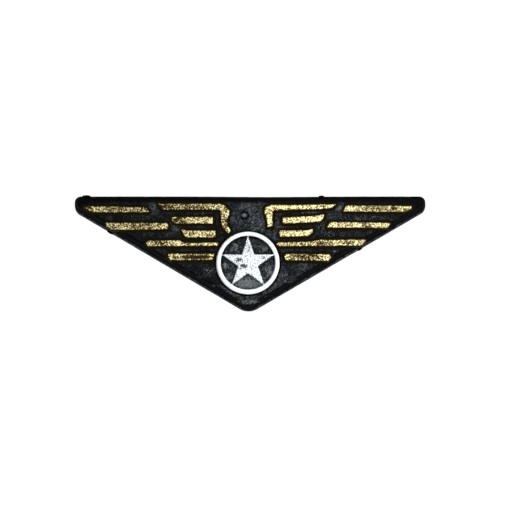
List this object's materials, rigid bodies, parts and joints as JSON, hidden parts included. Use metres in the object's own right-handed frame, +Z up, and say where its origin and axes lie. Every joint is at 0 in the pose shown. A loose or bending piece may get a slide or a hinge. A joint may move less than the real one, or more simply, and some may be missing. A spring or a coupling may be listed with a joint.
{
  "type": "pilot wings pin",
  "caption": "Triangular moulded-plastic pilot wings badge with gold-foil wing bars, a silver-foil ring and star, and a brooch bar with safety catch on its back.",
  "frame": {"origin": "on the plane of the plate's rear rim, behind the middle of the brooch bar and 7.5 mm below the straight top edge", "axes": "+X along the wings to the viewer's right, +Z up towards the straight edge, +Y out of the back towards the garment; the decorated front faces -Y"},
  "size_m": [0.0759, 0.0082, 0.0251],
  "materials": {
    "black_plastic": "moulded black plastic, semi-gloss, faintly mottled",
    "gold_foil": "hot-stamped gold foil, flecked and worn at the edges",
    "silver_foil": "hot-stamped silver foil, bright, a few dark flecks",
    "plated_steel": "nickel-plated pressed steel",
    "pin_wire": "nickel-plated drawn wire"
  },
  "bodies": {
    "badge": {"badge_plate": "black_plastic", "gold_foil_left_1": "gold_foil", "gold_foil_left_2": "gold_foil", "gold_foil_left_3": "gold_foil", "gold_foil_left_4": "gold_foil", "gold_foil_left_5": "gold_foil", "gold_foil_left_6": "gold_foil", "gold_foil_left_7": "gold_foil", "gold_foil_right_1": "gold_foil", "gold_foil_right_2": "gold_foil", "gold_foil_right_3": "gold_foil", "gold_foil_right_4": "gold_foil", "gold_foil_right_5": "gold_foil", "gold_foil_right_6": "gold_foil", "gold_foil_right_7": "gold_foil", "silver_foil_emblem": "silver_foil", "brooch_bar": "plated_steel", "hinge_rivet": "plated_steel"},
    "pin_arm": {"pin_stem": "pin_wire"},
    "catch": {"catch_sleeve": "plated_steel"}
  },
  "joints": [
    {"name": "pin_swing", "type": "hinge", "parent": "badge", "child": "pin_arm", "pos_m": [-0.013, 0.0022, 0], "axis": [0, 0, 1], "range_deg": [0, 95]},
    {"name": "catch_turn", "type": "hinge", "parent": "badge", "child": "catch", "pos_m": [0.01275, 0.0022, 0], "axis": [1, 0, 0], "range_deg": [0, 90]}
  ]
}
